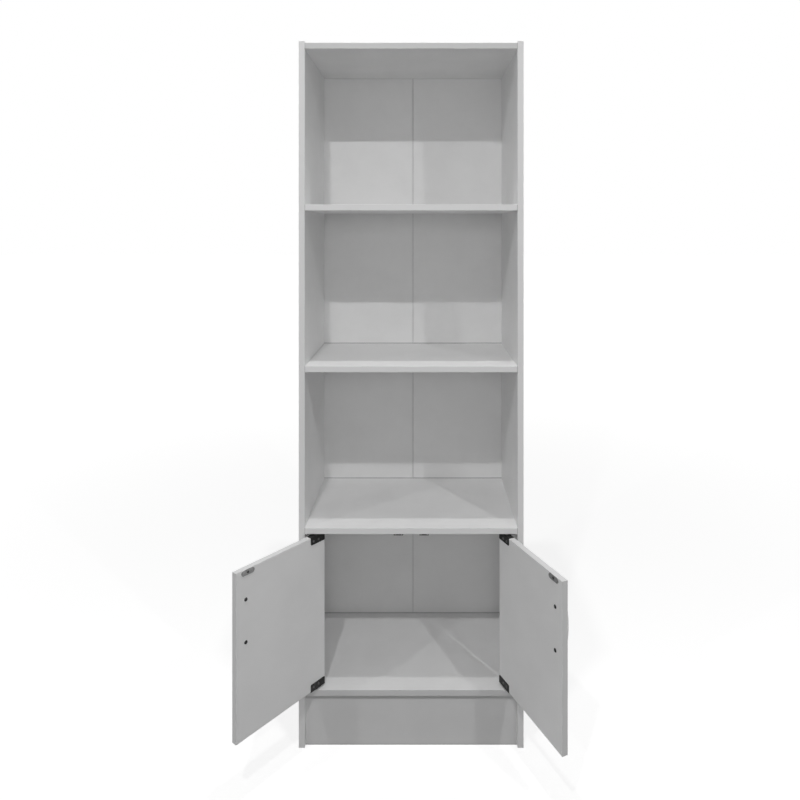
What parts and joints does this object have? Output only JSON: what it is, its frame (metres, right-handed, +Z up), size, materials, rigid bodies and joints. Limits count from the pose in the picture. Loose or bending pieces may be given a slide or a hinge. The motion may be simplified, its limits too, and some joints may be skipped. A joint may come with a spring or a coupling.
{
  "type": "bookcase with cabinet doors",
  "caption": "Tall white bookcase with open shelf bays above a cabinet closed by inset pivot-hung doors with bow handles and magnetic catches, on a recessed plinth.",
  "frame": {"origin": "on the floor, under the middle of the carcase in width and depth", "axes": "+Z up, -Y towards the front with the doors, +X to the right as seen from the front"},
  "size_m": [0.7493, 0.543, 1.76],
  "materials": {
    "white_board": "white melamine on particle board, satin",
    "white_hardboard": "white lacquer on hardboard, satin",
    "black_metal": "black enamel on pressed steel",
    "bright_steel": "zinc-plated steel",
    "grey_steel": "dull zinc-plated steel",
    "nylon": "natural nylon",
    "catch_plastic": "grey moulded plastic",
    "ferrite": "dark sintered ferrite",
    "handle_metal": "satin nickel on die-cast metal",
    "dark_screw": "blackened steel",
    "cap_plastic": "white moulded plastic"
  },
  "bodies": {
    "carcase": {"back_nails": "bright_steel", "cabinet_floor": "white_board", "cabinet_top_shelf": "white_board", "catch_screws": "bright_steel", "hinge_plate_screws": "bright_steel", "left_back_leaf": "white_hardboard", "left_catch_housing": "catch_plastic", "left_catch_magnet": "ferrite", "left_catch_poles": "bright_steel", "left_lower_hinge_pin": "bright_steel", "left_lower_hinge_plate": "black_metal", "left_lower_hinge_washer": "nylon", "left_side_panel": "white_board", "left_upper_hinge_pin": "bright_steel", "left_upper_hinge_plate": "black_metal", "left_upper_hinge_washer": "nylon", "middle_shelf": "white_board", "panel_screws": "bright_steel", "plinth_board": "white_board", "right_back_leaf": "white_hardboard", "right_catch_housing": "catch_plastic", "right_catch_magnet": "ferrite", "right_catch_poles": "bright_steel", "right_lower_hinge_pin": "bright_steel", "right_lower_hinge_plate": "black_metal", "right_lower_hinge_washer": "nylon", "right_side_panel": "white_board", "right_upper_hinge_pin": "bright_steel", "right_upper_hinge_plate": "black_metal", "right_upper_hinge_washer": "nylon", "screw_caps": "cap_plastic", "top_panel": "white_board", "upper_shelf": "white_board"},
    "left_door": {"left_door_panel": "white_board", "left_upper_hinge_leaf": "black_metal", "left_lower_hinge_leaf": "black_metal", "left_strike_plate": "grey_steel", "left_handle": "handle_metal", "left_leaf_screws": "dark_screw", "left_strike_screw": "dark_screw", "left_handle_screws": "dark_screw"},
    "right_door": {"right_door_panel": "white_board", "right_upper_hinge_leaf": "black_metal", "right_lower_hinge_leaf": "black_metal", "right_strike_plate": "grey_steel", "right_handle": "handle_metal", "right_leaf_screws": "dark_screw", "right_strike_screw": "dark_screw", "right_handle_screws": "dark_screw"}
  },
  "joints": [
    {"name": "left_door_hinge", "type": "hinge", "parent": "carcase", "child": "left_door", "pos_m": [-0.2395, -0.1575, 0.338], "axis": [0, 0, -1], "range_deg": [-129.3, 10.7]},
    {"name": "right_door_hinge", "type": "hinge", "parent": "carcase", "child": "right_door", "pos_m": [0.2395, -0.1575, 0.338], "axis": [0, 0, 1], "range_deg": [-114.3, 25.7]}
  ]
}
